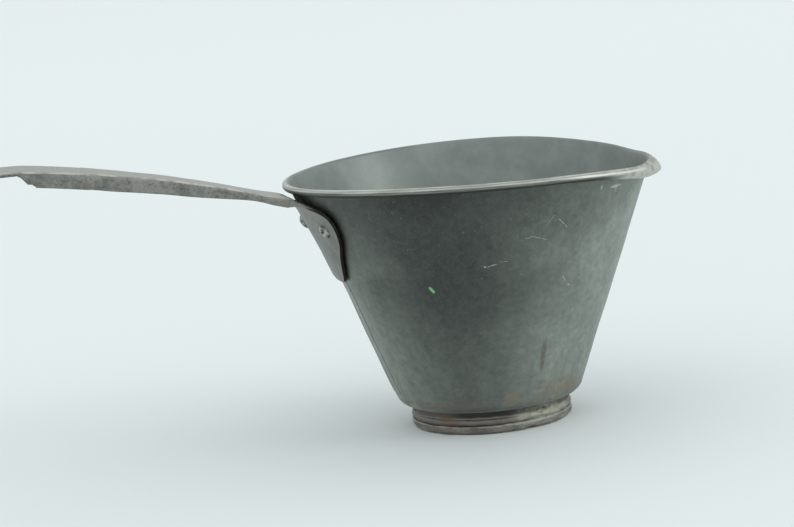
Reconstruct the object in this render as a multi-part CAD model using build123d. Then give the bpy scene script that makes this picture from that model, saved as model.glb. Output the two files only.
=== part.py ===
from build123d import *
import os
from math import asin, atan2, cos, degrees, radians, sin, sqrt, tan

os.makedirs("parts", exist_ok=True)

# Feed scoop of tinned sheet steel: a flared cup on a beaded collar with a flat bottom, a rolled and
# wired rim with a pouring lip, and a flanged strap handle riveted over the side seam.
# Frame: millimetres, origin at the middle of the bottom's underside, +Z up the cup's axis,
# handle towards -X, pouring lip towards +X.

# Cup wall and rolled rim
SHEET = 0.5                 # tinplate of the wall, collar and bottom
RIM_RADIUS = 50.0           # cup axis to the middle of the rolled rim
RIM_HEIGHT = 69.9           # underside of the bottom to the middle of the roll
WIRE_DIAMETER = 0.96        # wire inside the roll
ROLL_GAP = 0.02             # between the wire and the sheet around it
ROLL_SWEEP = 288.0          # how far the sheet is rolled round the wire, degrees
SHOULDER_BEND = 3.7         # middle-line radius of the wall's turned-in lower end
SKIRT_HEADING = 68.0        # slope of the wall's lower edge from upright, degrees
SEAM_WIDTH = 7.0            # folded side seam under the handle
SEAM_RISE = 0.4             # seam's height above the wall
SEAM_TOP_GAP = 1.6          # seam's upper end below the roll
SEAM_FOOT_GAP = 2.0         # seam's lower end above the turned-in shoulder

# Pouring lip: the roll opens into an apron that turns out and down
LIP_TURN = -8.0             # the lip's middle, degrees round from the handle's line
LIP_HALF = 72.0             # where the roll starts to open, either side of the middle
LIP_DIP = 2.0               # how much the lip's crest lies under the rim
LIP_FOLD = 104.0            # part of the roll that stays a tight fold, degrees
LIP_APRON_BEND = 6.0        # radius of the apron beyond the fold
LIP_APRON_LENGTH = 4.4      # length of the apron beyond the fold
LIP_SECTIONS = 13           # sections along the lip

# Collar, bottom and their solder
COLLAR_RADIUS = 21.6        # outside of the collar's straight part
COLLAR_HEIGHT = 6.95        # underside of the bottom to the collar's flange
COLLAR_BEND = 0.6           # bend between the straight part and the flange
COLLAR_LAP = 3.0            # length of the flare that lies on the wall's inside
BEAD_HEIGHT = 3.3           # middle of the stiffening bead
BEAD_BENDS = (0.6, 0.8)     # radii at the bead's foot and over its top
BEAD_TURN = 50.0            # slope of the bead's sides, degrees
CAP_FLANGE = 1.8            # height of the bottom's turned-up edge
CAP_BEND = 0.6              # radius of the bottom's corner
FIT_GAP = 0.05              # between parts that are soldered together
COLLAR_SOLDER = 1.0         # solder fillet along the wall
CAP_SOLDER = 0.35           # solder fillet up the collar

# Handle
STRAP_LAP = 4.0             # strap's straight start on the foot
NECK_DROP = 3.1             # rim's middle down to the corner where the strap leaves the foot
STRAP = 0.8                 # thickness of the handle's strap
STRAP_NECK_WIDTH = 15.5     # width where the strap leaves the foot
STRAP_GRIP_WIDTH = 20.0     # width at the outer end of the grip
STRAP_TIP_WIDTH = 12.0      # width at the hook's tip
NECK_BEND = 9.0             # middle-line bend between the foot and the strap
NECK_RISE = 19.0            # slope of the strap where it leaves the cup, degrees
GRIP_BEND = 350.0           # the grip's long arch
GRIP_END_RISE = 8.0         # slope at the grip's outer end, degrees
DROOP_BEND = 55.0           # the strap's bend beyond the flanges
DROOP_END_RISE = -22.0      # slope where the hook begins, degrees
HOOK_BEND = 6.3             # middle-line radius of the hook
HOOK_SWEEP = 160.0          # degrees
HOOK_TIP = 4.0              # straight end of the hook
FLANGE_DEPTH = 4.0          # grip's turned-down edges, strap included
FLANGE_FULL = 24.0          # distance from the neck to the flanges' full depth
FLANGE_END_CUT = 7.0        # length of the slanted end of each flange

# Handle's foot, a shield-shaped plate on the wall
FOOT_GAP = 0.05             # between the foot and the seam that it lies on
FOOT_TOP_GAP = 2.5          # from the foot's top to the underside of the roll
FOOT_DROP = 22.5            # from the foot's top down to its lower end
FOOT_WIDE_DROP = 8.0        # from the foot's top down to its widest points
FOOT_TIP_HALF = 6.9         # half widths at the lower end and at the widest points
FOOT_HALF = 18.9
FOOT_FILLETS = (4.0, 10.0, 4.5)     # lower corners, widest points and upper corners
FOOT_SPAN = 12.0            # spare angle either side of the foot before it is cut to shape, degrees

# Rivets
RIVET_SHANK = 2.8           # diameter
RIVET_HOLE_GAP = 0.05       # around the shank
RIVET_DRILL = 12.0          # length of the holes' cutter, well through the foot and wall
RIVET_SPREAD = 15.2         # each rivet's place round from the handle's middle, degrees
RIVET_DROP = 6.7            # from the foot's top down to the rivets
RIVET_HEAD = 4.2            # hammered outer head
RIVET_HEAD_RISE = 1.0
RIVET_FLAT = 5.6            # flat inner head
RIVET_FLAT_RISE = 0.7
RIVET_SEAT_GAP = 0.12       # under the flat head, for the wall's curve

# What follows from them
ROLL_BEND = WIRE_DIAMETER / 2 + ROLL_GAP + SHEET / 2
ROLL_RADIUS = ROLL_BEND + SHEET / 2
COLLAR_MIDDLE = COLLAR_RADIUS - SHEET / 2
FLARE_BEND = SHOULDER_BEND - SHEET - FIT_GAP
SHOULDER_R = COLLAR_MIDDLE + COLLAR_BEND
SHOULDER_Z = COLLAR_HEIGHT + FLARE_BEND
REACH_R = RIM_RADIUS - SHOULDER_R
REACH_Z = RIM_HEIGHT - SHOULDER_Z
REACH = sqrt(REACH_R**2 + REACH_Z**2)
FLARE = degrees(atan2(REACH_R, REACH_Z) - asin((SHOULDER_BEND + ROLL_BEND) / REACH))
CONE_R = SHOULDER_R + SHOULDER_BEND * cos(radians(FLARE))
CONE_Z = SHOULDER_Z - SHOULDER_BEND * sin(radians(FLARE))
ROLL_START_Z = RIM_HEIGHT + ROLL_BEND * sin(radians(FLARE))
SEAM_TOP = RIM_HEIGHT - ROLL_RADIUS - SEAM_TOP_GAP
SEAM_FOOT = CONE_Z + SEAM_FOOT_GAP
FOOT_TOP = RIM_HEIGHT - ROLL_RADIUS - FOOT_TOP_GAP
FOOT_BOTTOM = FOOT_TOP - FOOT_DROP
RIVET_HEIGHT = FOOT_TOP - RIVET_DROP
FOOT_INNER = SHEET / 2 + SEAM_RISE + FOOT_GAP
FOOT_MIDDLE = FOOT_INNER + STRAP / 2
FOOT_OUTER = FOOT_INNER + STRAP


def right_of(heading):
    """Unit vector to the right of a heading, which is in degrees from up towards out."""
    return cos(radians(heading)), -sin(radians(heading))


def cone_point(z, offset=0.0):
    """Point on the wall's middle line at height z, or offset outwards from it."""
    out, down = right_of(FLARE)
    return CONE_R + (z - CONE_Z) * tan(radians(FLARE)) + offset * out, z + offset * down


def radial(angle):
    """Placement of (radius, height) in the upright plane at this angle round the axis."""
    return lambda r, z: Vector(r * cos(radians(angle)), r * sin(radians(angle)), z)


def bent_sheet(start, heading, moves, thickness, place):
    """Outline of a bent sheet. Its middle line starts at start and makes the moves in turn:
    ("run", length) or ("bend", radius, sweep), where a positive sweep turns to the right."""
    r, z = start
    sides = {1: [], -1: []}
    for move in moves:
        if move[0] == "run":
            step = move[1]
            stations = [(r, z, heading)]
            r += step * sin(radians(heading))
            z += step * cos(radians(heading))
            stations.append((r, z, heading))
        else:
            radius = move[1] if move[2] > 0 else -move[1]
            nr, nz = right_of(heading)
            centre = (r + radius * nr, z + radius * nz)
            stations = []
            for part in (0, 0.5, 1):
                now = heading + part * move[2]
                nr, nz = right_of(now)
                stations.append((centre[0] - radius * nr, centre[1] - radius * nz, now))
            r, z, heading = stations[-1]
        for side in sides:
            points = []
            for pr, pz, now in stations:
                nr, nz = right_of(now)
                points.append(place(pr + side * thickness / 2 * nr, pz + side * thickness / 2 * nz))
            sides[side].append(points)
    edges = []
    for points in sides[1] + [list(reversed(p)) for p in reversed(sides[-1])]:
        if len(points) == 3:
            edges.append(Edge.make_three_point_arc(*points))
        else:
            edges.append(Edge.make_line(*points))
    tip = Edge.make_line(sides[1][-1][-1], sides[-1][-1][-1])
    tail = Edge.make_line(sides[-1][0][0], sides[1][0][0])
    edges.insert(len(moves), tip)
    edges.append(tail)
    return Face(Wire(edges))


def opening(angle):
    """How far the rolled rim is opened into the lip at this angle: 0 is rolled, 1 is the middle."""
    away = (angle - LIP_TURN) / LIP_HALF
    return cos(radians(90 * away))**2 if abs(away) < 1 else 0.0


def wall_section(angle):
    """The wall's section: turned-in lower end, straight flank, then the roll or the lip."""
    open_by = opening(angle)
    top_z = ROLL_START_Z - LIP_DIP * open_by
    flank = (top_z - CONE_Z) / cos(radians(FLARE))
    roll_length = ROLL_BEND * radians(ROLL_SWEEP - LIP_FOLD)
    length = roll_length + (LIP_APRON_LENGTH - roll_length) * open_by
    bend = 1 / ((1 - open_by) / ROLL_BEND + open_by / LIP_APRON_BEND)
    out, down = right_of(SKIRT_HEADING)
    start = (SHOULDER_R + SHOULDER_BEND * out, SHOULDER_Z + SHOULDER_BEND * down)
    moves = [
        ("bend", SHOULDER_BEND, FLARE - SKIRT_HEADING),
        ("run", flank),
        ("bend", ROLL_BEND, LIP_FOLD),
        ("bend", bend, degrees(length / bend)),
    ]
    return bent_sheet(start, SKIRT_HEADING, moves, SHEET, radial(angle))


def cone_shell(inner, outer, low, high):
    """Part of a shell parallel to the wall, on the handle's side and a little wider than the foot."""
    half_angle = FOOT_SPAN + degrees(asin(FOOT_HALF / RIM_RADIUS))
    place = radial(180 - half_angle)
    corners = [(low, inner), (low, outer), (high, outer), (high, inner)]
    section = Face(Wire.make_polygon([place(*cone_point(*c)) for c in corners]))
    return revolve(section, Axis.Z, 2 * half_angle)


def rivet_plane(side):
    """Plane on the wall's middle surface at a rivet, its Z outwards and square to the wall."""
    around = radians(180 + side * RIVET_SPREAD)
    r, z = cone_point(RIVET_HEIGHT)
    tilt = radians(FLARE)
    out = Vector(cos(tilt) * cos(around), cos(tilt) * sin(around), -sin(tilt))
    return Plane(origin=(r * cos(around), r * sin(around), z), z_dir=out)


def rivet_hole(side, radius):
    return rivet_plane(side) * Cylinder(radius, RIVET_DRILL)


def cup_wall():
    """One sheet: flank, turned-in lower end, rolled rim, pouring lip and folded seam."""
    rolled = revolve(wall_section(LIP_TURN + LIP_HALF), Axis.Z, 360 - 2 * LIP_HALF)
    angles = [LIP_TURN + LIP_HALF * (2 * i / (LIP_SECTIONS - 1) - 1) for i in range(LIP_SECTIONS)]
    lip = loft([wall_section(a) for a in angles])
    seam_band = cone_shell(0, SHEET / 2 + SEAM_RISE, SEAM_FOOT, SEAM_TOP)
    seam = seam_band & Box(4 * RIM_RADIUS, SEAM_WIDTH, 4 * RIM_HEIGHT)
    wall = rolled + seam
    for side in (-1, 1):
        wall -= rivet_hole(side, RIVET_SHANK / 2 + RIVET_HOLE_GAP)
    return wall + lip


def rim_wire():
    """Hoop of wire in the roll, cut off where the roll opens into the lip."""
    place = radial(LIP_TURN + LIP_HALF)
    out = place(1, 0)
    plane = Plane(origin=place(RIM_RADIUS, RIM_HEIGHT), x_dir=out, z_dir=out.cross(Vector(0, 0, 1)))
    return revolve(plane * Circle(WIRE_DIAMETER / 2), Axis.Z, 360 - 2 * LIP_HALF)


def base_collar():
    """Collar under the wall: straight with one bead, then flanged and flared inside the wall."""
    foot, top = BEAD_BENDS
    bead_half = (foot + top) * sin(radians(BEAD_TURN))
    bottom = SHEET / 2 + CAP_BEND
    moves = [
        ("run", BEAD_HEIGHT - bead_half - bottom),
        ("bend", foot, BEAD_TURN),
        ("bend", top, -2 * BEAD_TURN),
        ("bend", foot, BEAD_TURN),
        ("run", COLLAR_HEIGHT - COLLAR_BEND - BEAD_HEIGHT - bead_half),
        ("bend", COLLAR_BEND, 90),
        ("bend", FLARE_BEND, FLARE - 90),
        ("run", COLLAR_LAP),
    ]
    return revolve(bent_sheet((COLLAR_MIDDLE, bottom), 0, moves, SHEET, radial(0)), Axis.Z, 360)


def base_cap():
    """Flat bottom with its edge turned up outside the collar."""
    flange_middle = COLLAR_RADIUS + FIT_GAP + SHEET / 2
    moves = [
        ("run", flange_middle - CAP_BEND),
        ("bend", CAP_BEND, -90),
        ("run", CAP_FLANGE - SHEET / 2 - CAP_BEND),
    ]
    return revolve(bent_sheet((0, SHEET / 2), 90, moves, SHEET, radial(0)), Axis.Z, 360)


def collar_solder():
    """Ring of solder over the collar's upper edge, against the wall's inside."""
    end = CONE_Z + COLLAR_LAP * cos(radians(FLARE))
    inside = -SHEET / 2
    along = COLLAR_SOLDER * cos(radians(FLARE))
    corners = [(end, inside), (end + along, inside), (end, inside - FIT_GAP - SHEET)]
    section = Face(Wire.make_polygon([radial(0)(*cone_point(*c)) for c in corners]))
    return revolve(section, Axis.Z, 360)


def base_solder():
    """Ring of solder on the bottom's turned-up edge, against the collar."""
    outer = COLLAR_RADIUS + FIT_GAP + SHEET
    corners = [(COLLAR_RADIUS, CAP_FLANGE), (outer, CAP_FLANGE), (COLLAR_RADIUS, CAP_FLANGE + CAP_SOLDER)]
    return revolve(Face(Wire.make_polygon([radial(0)(*c) for c in corners])), Axis.Z, 360)


def after_bend(point, heading, radius, sweep, offset=0.0):
    """Where a bend to the right ends, offset to the right of the middle line."""
    nr, nz = right_of(heading)
    mr, mz = right_of(heading + sweep)
    centre = (point[0] + radius * nr, point[1] + radius * nz)
    return centre[0] - (radius - offset) * mr, centre[1] - (radius - offset) * mz


# Stations along the middle line of the strap, in (distance out from the axis, height)
NECK_SWEEP = 90 - FLARE - NECK_RISE
GRIP_SWEEP = NECK_RISE - GRIP_END_RISE
DROOP_SWEEP = GRIP_END_RISE - DROOP_END_RISE
ON_FOOT = STRAP_LAP + NECK_BEND * tan(radians(NECK_SWEEP / 2))
STRAP_START = cone_point(RIM_HEIGHT - NECK_DROP - ON_FOOT * cos(radians(FLARE)), FOOT_MIDDLE)
NECK_START = (
    STRAP_START[0] + STRAP_LAP * sin(radians(FLARE)),
    STRAP_START[1] + STRAP_LAP * cos(radians(FLARE)),
)
NECK_END = after_bend(NECK_START, FLARE, NECK_BEND, NECK_SWEEP)
GRIP_END = after_bend(NECK_END, 90 - NECK_RISE, GRIP_BEND, GRIP_SWEEP)
HOOK_START = after_bend(GRIP_END, 90 - GRIP_END_RISE, DROOP_BEND, DROOP_SWEEP)
HOOK_REACH = HOOK_START[0] + HOOK_BEND + STRAP


def upright(r, z):
    """Placement in the handle's own upright plane."""
    return Vector(-r, 0, z)


def strap_plan(trim):
    """Outline of the strap from above, with each side moved in by trim, as a tall prism."""
    stations = [
        (0, STRAP_NECK_WIDTH),
        (NECK_END[0], STRAP_NECK_WIDTH),
        (GRIP_END[0], STRAP_GRIP_WIDTH),
        (HOOK_REACH, STRAP_TIP_WIDTH),
    ]
    half = [(-r, width / 2 - trim) for r, width in stations]
    outline = half + [(x, -y) for x, y in reversed(half)]
    return extrude(Plane.XY * make_face(Polyline(*outline, close=True)), 2 * RIM_HEIGHT)


def flange_web():
    """Side view of the grip's turned-down edges: full depth along the grip, and tapering at the ends."""
    drop = FLANGE_DEPTH - STRAP / 2
    start = 90 - NECK_RISE
    full = degrees(FLANGE_FULL / GRIP_BEND)
    cut = degrees(FLANGE_END_CUT / DROOP_BEND)
    corners = {
        "neck": NECK_END,
        "middle": after_bend(NECK_END, start, GRIP_BEND, GRIP_SWEEP / 2),
        "end": GRIP_END,
        "past": after_bend(GRIP_END, start + GRIP_SWEEP, DROOP_BEND, cut / 2),
        "tip": after_bend(GRIP_END, start + GRIP_SWEEP, DROOP_BEND, cut),
        "low_end": after_bend(NECK_END, start, GRIP_BEND, GRIP_SWEEP, drop),
        "low_middle": after_bend(NECK_END, start, GRIP_BEND, (GRIP_SWEEP + full) / 2, drop),
        "low_full": after_bend(NECK_END, start, GRIP_BEND, full, drop),
    }
    at = {name: upright(*point) for name, point in corners.items()}
    edges = [
        Edge.make_three_point_arc(at["neck"], at["middle"], at["end"]),
        Edge.make_three_point_arc(at["end"], at["past"], at["tip"]),
        Edge.make_line(at["tip"], at["low_end"]),
        Edge.make_three_point_arc(at["low_end"], at["low_middle"], at["low_full"]),
        Edge.make_line(at["low_full"], at["neck"]),
    ]
    return extrude(Face(Wire(edges)), STRAP_GRIP_WIDTH, dir=(0, 1, 0), both=True)


def foot_plate():
    """Shield-shaped foot, parallel to the wall and lying on the seam."""
    out, down = right_of(FLARE)
    r, z = cone_point(FOOT_BOTTOM)
    plane = Plane(origin=(-r, 0, z), x_dir=(0, -1, 0), z_dir=(-out, 0, down))
    widest = (FOOT_DROP - FOOT_WIDE_DROP) / cos(radians(FLARE))
    top = FOOT_DROP / cos(radians(FLARE))
    half = [(FOOT_TIP_HALF, 0), (FOOT_HALF, widest), (FOOT_HALF, top)]
    outline = make_face(Polyline(*half, *[(-x, y) for x, y in reversed(half)], close=True))
    for height, size in zip((0, widest, top), FOOT_FILLETS):
        corners = [v for v in outline.vertices() if abs(v.Y - height) < size / 10]
        outline = fillet(corners, size)
    cutter = extrude(plane * outline, RIM_RADIUS / 2, both=True)
    return cone_shell(FOOT_INNER, FOOT_OUTER, FOOT_BOTTOM - STRAP, FOOT_TOP + STRAP) & cutter


def handle():
    """Strap, flanges, hook and foot, all cut and bent from one piece."""
    moves = [
        ("run", STRAP_LAP),
        ("bend", NECK_BEND, NECK_SWEEP),
        ("bend", GRIP_BEND, GRIP_SWEEP),
        ("bend", DROOP_BEND, DROOP_SWEEP),
        ("bend", HOOK_BEND, HOOK_SWEEP),
        ("run", HOOK_TIP),
    ]
    side_view = bent_sheet(STRAP_START, FLARE, moves, STRAP, upright)
    strap = extrude(side_view, STRAP_GRIP_WIDTH, dir=(0, 1, 0), both=True) & strap_plan(0)
    flanges = flange_web() & (strap_plan(0) - strap_plan(STRAP))
    piece = strap + flanges + foot_plate()
    for side in (-1, 1):
        piece -= rivet_hole(side, RIVET_SHANK / 2 + RIVET_HOLE_GAP)
    return piece


def rivet(side):
    """Rivet with a flat head inside the cup and its end hammered to a dome on the foot."""
    inner = -SHEET / 2 - RIVET_SEAT_GAP
    bottom = (Align.CENTER, Align.CENTER, Align.MIN)
    half = RIVET_HEAD / 2
    ball = (half**2 + RIVET_HEAD_RISE**2) / (2 * RIVET_HEAD_RISE)
    dome = Cylinder(half, RIVET_HEAD_RISE, align=bottom) & Pos(0, 0, RIVET_HEAD_RISE - ball) * Sphere(ball)
    shank = Pos(0, 0, inner) * Cylinder(RIVET_SHANK / 2, FOOT_OUTER + FIT_GAP - inner, align=bottom)
    flat = Pos(0, 0, inner - RIVET_FLAT_RISE) * Cylinder(RIVET_FLAT / 2, RIVET_FLAT_RISE, align=bottom)
    return rivet_plane(side) * (shank + flat + Pos(0, 0, FOOT_OUTER + FIT_GAP) * dome)


pieces = {
    "cup_wall": cup_wall(),
    "rim_wire": rim_wire(),
    "base_collar": base_collar(),
    "base_cap": base_cap(),
    "collar_solder": collar_solder(),
    "base_solder": base_solder(),
    "handle": handle(),
    "rivet_left": rivet(-1),
    "rivet_right": rivet(1),
}
for name, piece in pieces.items():
    export_step(piece, f"parts/{name}.step")
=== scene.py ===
from math import atan2, cos, degrees, exp, hypot, pi, radians, sin, sqrt, tan

import bpy
from mathutils import Matrix, Vector, noise


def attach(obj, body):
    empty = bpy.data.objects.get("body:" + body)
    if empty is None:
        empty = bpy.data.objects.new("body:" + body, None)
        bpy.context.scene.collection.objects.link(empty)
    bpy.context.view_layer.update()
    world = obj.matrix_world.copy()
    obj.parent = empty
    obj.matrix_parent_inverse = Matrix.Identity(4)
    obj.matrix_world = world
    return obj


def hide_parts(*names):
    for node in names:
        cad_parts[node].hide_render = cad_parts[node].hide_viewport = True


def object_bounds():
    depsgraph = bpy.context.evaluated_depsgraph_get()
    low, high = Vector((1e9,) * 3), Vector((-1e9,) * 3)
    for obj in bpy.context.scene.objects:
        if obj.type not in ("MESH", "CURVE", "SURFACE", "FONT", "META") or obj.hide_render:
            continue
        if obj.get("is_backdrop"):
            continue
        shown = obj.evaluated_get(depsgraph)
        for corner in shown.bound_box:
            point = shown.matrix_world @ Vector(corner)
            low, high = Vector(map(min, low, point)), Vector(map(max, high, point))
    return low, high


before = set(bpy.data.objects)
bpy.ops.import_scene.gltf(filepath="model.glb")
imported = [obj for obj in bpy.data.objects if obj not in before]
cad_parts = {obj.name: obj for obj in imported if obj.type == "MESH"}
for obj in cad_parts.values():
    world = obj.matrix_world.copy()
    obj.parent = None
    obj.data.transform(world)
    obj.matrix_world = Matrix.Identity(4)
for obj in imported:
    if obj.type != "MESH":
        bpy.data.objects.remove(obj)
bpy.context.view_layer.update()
bpy.ops.object.select_all(action="DESELECT")


# ---------------------------------------------------------------------------------------------
# Cup wall. One sheet of tinplate rolled into a cone: its lower end is turned in over the collar,
# its upper edge is rolled round a wire and opened into a pouring lip, and its folded side seam
# lies under the handle. Sizes are in millimetres until a piece is finished.
SHEET = 0.5                 # thickness of the tinplate
RIM_RADIUS = 50.0           # axis to the middle of the roll
RIM_HEIGHT = 69.9
ROLL_BEND = 0.75            # middle line of the sheet round the wire
OUTWARD_SWEEP, ROLL_SWEEP = 104, 184    # degrees of the roll's first bend and of the rest
FLARE = 21.27               # slope of the wall from upright, degrees
SHOULDER_R, SHOULDER_Z = 21.95, 10.1    # centre of the bend at the wall's turned-in lower end
SHOULDER_BEND = 3.7
SKIRT_HEADING = 68.0        # where the turned-in end points, degrees from upright
LIP_TURN = -8.0             # middle of the lip, degrees round from opposite the handle
LIP_HALF = 72.0             # from there to where the roll is whole
LIP_REACH = 3.85            # sheet past the first bend at the middle of the lip
LIP_BEND = 6.0
LIP_DIP = 2.0
SHOULDER_STEPS, WALL_STEPS, OUTWARD_STEPS, ROLL_STEPS = 8, 44, 8, 14
ROLL_START = SHOULDER_STEPS + WALL_STEPS    # number of the line's point where the roll begins
SIDE_SEAM_WIDTH = 7.0
SIDE_SEAM_RISE = 0.14
SIDE_SEAM_LOW, SIDE_SEAM_HIGH = 10.8, 67.2
OVAL_TURN = 14.5            # the oval's axis stands this far from the handle's line, degrees
PRESS_DEPTH = 1.05          # how far the handle has pushed the wall in


def bent_line(start, heading, moves):
    """Middle line of a bent sheet as (out, up) points. A move is (length, steps) for a straight run
    or (radius, sweep, steps) for a bend, which turns outwards for a positive sweep."""
    out, up = start
    line = [(out, up)]
    for move in moves:
        steps = move[-1]
        for _ in range(steps):
            if len(move) == 2:
                stride, turn = move[0] / steps, 0.0
            else:
                turn = move[1] / steps
                stride = 2 * move[0] * sin(radians(abs(turn)) / 2)
            heading += turn / 2
            out += stride * sin(radians(heading))
            up += stride * cos(radians(heading))
            heading += turn / 2
            line.append((out, up))
    return line


def turned(name, line, steps):
    """Spins a chain of edges round the axis. Each point keeps its number in the chain as "along"."""
    bpy.ops.mesh.primitive_plane_add(size=1)
    piece = bpy.context.object
    piece.name = name
    bpy.ops.object.mode_set(mode="EDIT")
    bpy.ops.mesh.merge(type="CENTER")
    bpy.ops.transform.translate(value=(line[0][0], 0, line[0][1]))
    for (r0, z0), (r1, z1) in zip(line, line[1:]):
        step = (r1 - r0, 0, z1 - z0)
        bpy.ops.mesh.extrude_vertices_move(TRANSFORM_OT_translate={"value": step})
    bpy.ops.object.mode_set(mode="OBJECT")
    along = piece.data.attributes.new("along", "FLOAT", "POINT")
    for number, item in enumerate(along.data):
        item.value = number
    bpy.ops.object.mode_set(mode="EDIT")
    bpy.ops.mesh.select_all(action="SELECT")
    bpy.ops.mesh.spin(steps=steps, angle=radians(360), center=(0, 0, 0), axis=(0, 0, 1))
    bpy.ops.mesh.select_all(action="SELECT")
    bpy.ops.mesh.remove_doubles(threshold=0.002)
    bpy.ops.mesh.normals_make_consistent(inside=False)
    bpy.ops.object.mode_set(mode="OBJECT")
    return piece


def modify(piece, kind, **settings):
    """Adds a modifier and applies it."""
    bpy.context.view_layer.objects.active = piece
    modifier = piece.modifiers.new(kind.title(), kind)
    for name, value in settings.items():
        setattr(modifier, name, value)
    bpy.ops.object.modifier_apply(modifier=modifier.name)


def smooth(piece, angle=35.0):
    bpy.ops.object.select_all(action="DESELECT")
    piece.select_set(True)
    bpy.context.view_layer.objects.active = piece
    bpy.ops.object.shade_smooth_by_angle(angle=radians(angle))
    bpy.ops.object.select_all(action="DESELECT")


def joined(pieces):
    bpy.ops.object.select_all(action="DESELECT")
    for piece in pieces:
        piece.select_set(True)
    bpy.context.view_layer.objects.active = pieces[0]
    bpy.ops.object.join()
    bpy.ops.object.select_all(action="DESELECT")
    return pieces[0]


def finished(piece, finish, node):
    """Brings a piece from millimetres to metres and puts it on the frame in place of its node."""
    piece.data.transform(Matrix.Scale(0.001, 4))
    piece.data.materials.clear()
    piece.data.materials.append(finish.material)
    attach(piece, "root")
    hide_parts(node)


def lip_opening(angle):
    """0 where the rim is rolled, 1 at the middle of the lip."""
    away = (angle - LIP_TURN) / LIP_HALF
    return cos(radians(90 * away)) ** 1.3 if abs(away) < 1 else 0.0


def cone_radius(z, offset=0.0):
    """Radius of the wall's middle surface at a height, or offset square to it."""
    shoulder = SHOULDER_R + SHOULDER_BEND * cos(radians(FLARE))
    foot = SHOULDER_Z - SHOULDER_BEND * sin(radians(FLARE))
    return shoulder + (z - foot) * tan(radians(FLARE)) + offset / cos(radians(FLARE))


def wall_line(angle):
    """Middle line of the wall at an angle round the cup, always with the same number of points."""
    opening = lip_opening(angle)
    out, down = cos(radians(SKIRT_HEADING)), -sin(radians(SKIRT_HEADING))
    start = (SHOULDER_R + SHOULDER_BEND * out, SHOULDER_Z + SHOULDER_BEND * down)
    foot = SHOULDER_Z - SHOULDER_BEND * sin(radians(FLARE))
    top = RIM_HEIGHT + ROLL_BEND * sin(radians(FLARE)) - LIP_DIP * opening ** 1.5
    rolled = ROLL_BEND * radians(ROLL_SWEEP)
    length = rolled + (LIP_REACH - rolled) * opening
    bend = 1 / ((1 - opening) / ROLL_BEND + opening / LIP_BEND)
    return bent_line(start, SKIRT_HEADING, [
        (SHOULDER_BEND, FLARE - SKIRT_HEADING, SHOULDER_STEPS),
        ((top - foot) / cos(radians(FLARE)), WALL_STEPS),
        (ROLL_BEND, OUTWARD_SWEEP, OUTWARD_STEPS),
        (bend, degrees(length / bend), ROLL_STEPS),
    ])


def bump(value, middle, width):
    """1 at the middle, falling smoothly to both sides."""
    return exp(-((value - middle) / width) ** 2)


def turn_of(point):
    """Where a point stands round the axis, in degrees from opposite the handle."""
    return degrees(atan2(point[1], point[0]))


def moved_out(point, by, lift=0.0):
    """A point moved away from the axis and up."""
    x, y, z = point
    r = hypot(x, y)
    return Vector((x * (r + by) / r, y * (r + by) / r, z + lift)) if r > 1 else Vector(point)


def pressed(point):
    """The handle has pushed the wall in a little where it is held."""
    x, y, z = point
    up = min(max((z - 12) / 54, 0.0), 1.0)
    return moved_out(point, -PRESS_DEPTH * sin(pi * up ** 1.4) * bump(turn_of((-x, y)), 8, 28))


def settled(point):
    """How years of use have bent the cup: an oval rim that dips and rises, and shallow dents."""
    x, y, z = point
    turn = turn_of(point)
    oval = radians(turn + OVAL_TURN)
    height = min(max(z / RIM_HEIGHT, 0.0), 1.1)
    flank = max(0.0, min(1.0, (z - 9) / 12) * min(1.0, (68 - z) / 14))
    dents = noise.noise(Vector((x / 26, y / 26, z / 30))) + 0.5 * noise.noise(Vector((x, y, z)) / 11)
    grow = 0.36 * cos(2 * oval) * height ** 2 + 0.30 * flank * dents
    grow -= 0.65 * bump(turn, -14, 25) * height ** 6
    tilt = -0.6 * cos(oval) - 0.79 * cos(2 * oval) - 0.5 * bump(degrees(oval), -75, 45)
    far_side = 0.4 * bump(turn, 52, 34) + 0.3 * bump(turn, 18, 14)
    by_lip = 0.9 * exp(-((turn + 17) / 20) ** 4)
    return pressed(moved_out(point, grow, (tilt + far_side + by_lip) * height ** 3))


cup = turned("cup", wall_line(180), 240)
sections = {}
for vertex, item in zip(cup.data.vertices, cup.data.attributes["along"].data):
    angle = turn_of(vertex.co)
    key = round(angle * 10)
    if key not in sections:
        sections[key] = wall_line(angle)
    r, z = sections[key][round(item.value)]
    vertex.co = Vector((r * cos(radians(angle)), r * sin(radians(angle)), z))
modify(cup, "SOLIDIFY", thickness=SHEET, offset=0.0)

# The finish needs to know which side and which part of the sheet it is on.
along = [item.value for item in cup.data.attributes["along"].data]
for name in ("inside", "rolled", "lip"):
    cup.data.attributes.new(name, "FLOAT", "POINT")
inside, rolled, lip = (cup.data.attributes[name].data for name in ("inside", "rolled", "lip"))
for vertex, station in zip(cup.data.vertices, along):
    outwards = vertex.normal.x * vertex.co.x + vertex.normal.y * vertex.co.y
    inside[vertex.index].value = 1.0 if outwards < 0 and station < ROLL_START + 4.5 else 0.0
    rolled[vertex.index].value = max(0.0, station - ROLL_START)
    lip[vertex.index].value = lip_opening(turn_of(vertex.co))

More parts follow.
